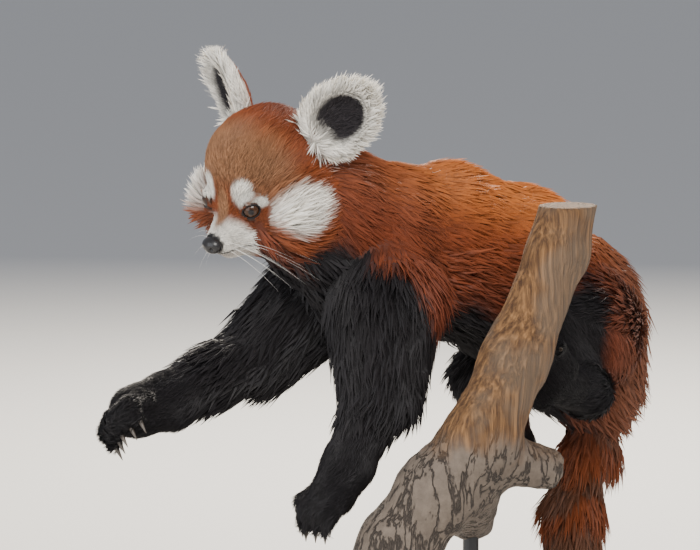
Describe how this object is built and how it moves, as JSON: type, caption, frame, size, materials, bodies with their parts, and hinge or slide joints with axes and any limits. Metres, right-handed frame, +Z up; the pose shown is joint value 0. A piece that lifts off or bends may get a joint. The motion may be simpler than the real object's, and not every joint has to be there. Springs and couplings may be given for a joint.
{
  "type": "red panda",
  "caption": "Life-size still model of a red panda stepping along a forked branch on a display stand, one forepaw reaching out, ringed tail hanging.",
  "frame": {"origin": "centre of the underside of the stand's flat base", "axes": "+Z up; the animal faces -X, with its left side towards -Y"},
  "size_m": [0.5189, 0.3, 0.7281],
  "materials": {
    "coat_rust": "long soft coat, orange-rust",
    "coat_dark": "short dense coat, black-brown",
    "coat_pale": "soft coat, cream-white with rust marks",
    "coat_tail": "bushy coat, brown with faint rings",
    "eye": "polished, dark brown",
    "nose": "moist, black",
    "claw": "smooth horn, pale",
    "bark": "worn bark with bare grain",
    "stand": "satin, near black"
  },
  "bodies": {
    "root": {"head": "coat_pale", "ear_left": "coat_pale", "ear_right": "coat_pale", "eye_left": "eye", "eye_right": "eye", "nose": "nose", "neck": "coat_rust", "torso": "coat_rust", "tail": "coat_tail", "leg_front_left": "coat_dark", "paw_front_left": "coat_dark", "claw_front_left_1": "claw", "claw_front_left_2": "claw", "claw_front_left_3": "claw", "claw_front_left_4": "claw", "claw_front_left_5": "claw", "leg_front_right": "coat_dark", "paw_front_right": "coat_dark", "claw_front_right_1": "claw", "claw_front_right_2": "claw", "claw_front_right_3": "claw", "claw_front_right_4": "claw", "claw_front_right_5": "claw", "leg_rear_left": "coat_dark", "paw_rear_left": "coat_dark", "claw_rear_left_1": "claw", "claw_rear_left_2": "claw", "claw_rear_left_3": "claw", "claw_rear_left_4": "claw", "claw_rear_left_5": "claw", "leg_rear_right": "coat_dark", "paw_rear_right": "coat_dark", "claw_rear_right_1": "claw", "claw_rear_right_2": "claw", "claw_rear_right_3": "claw", "claw_rear_right_4": "claw", "claw_rear_right_5": "claw", "branch": "bark", "stand_base": "stand", "stand_rod_1": "stand", "stand_rod_2": "stand"}
  },
  "joints": []
}
